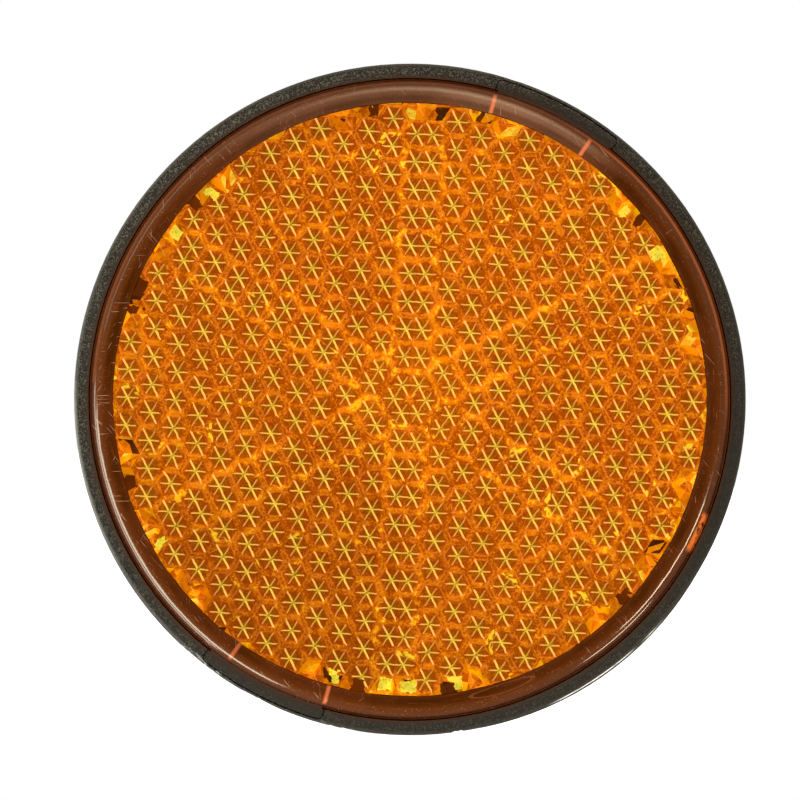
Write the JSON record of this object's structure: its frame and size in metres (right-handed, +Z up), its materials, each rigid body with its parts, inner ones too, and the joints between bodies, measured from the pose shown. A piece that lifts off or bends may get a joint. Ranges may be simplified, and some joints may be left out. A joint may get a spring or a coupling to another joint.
{
  "type": "round reflex reflector",
  "caption": "Round amber prismatic reflex reflector: snap-in lens in a black cup housing on a central threaded stud with nut and washers.",
  "frame": {"origin": "centre of the housing's rear land, on the stud's axis: where the reflector meets its bracket", "axes": "+Y along the stud, away from the lens; the lens looks along -Y; +Z up, across the middle seam of the prism sectors"},
  "size_m": [0.06, 0.024, 0.06],
  "materials": {
    "black_plastic": "matte moulded plastic",
    "amber_acrylic": "clear polished amber acrylic",
    "seal_rubber": "soft black rubber",
    "zinc_steel": "bright zinc plate",
    "spring_steel": "dull zinc plate"
  },
  "bodies": {
    "base": {"housing": "black_plastic", "lens": "amber_acrylic", "lens_seal": "seal_rubber", "stud_bolt": "zinc_steel", "stud_o_ring": "seal_rubber"},
    "washers": {"plain_washer": "zinc_steel", "spring_washer": "spring_steel"},
    "nut": {"hex_nut": "zinc_steel"}
  },
  "joints": [
    {"name": "nut_travel", "type": "slide", "parent": "base", "child": "washers", "axis": [0, 1, 0], "range_m": [0, 0.008]},
    {"name": "nut_turn", "type": "hinge", "parent": "washers", "child": "nut", "pos_m": [0, 0.0039, 0], "axis": [0, 1, 0], "range_deg": [0, 3601]}
  ],
  "couplings": [
    {"joint": "nut_turn", "follows": "nut_travel", "rad_per_m": 7854}
  ]
}
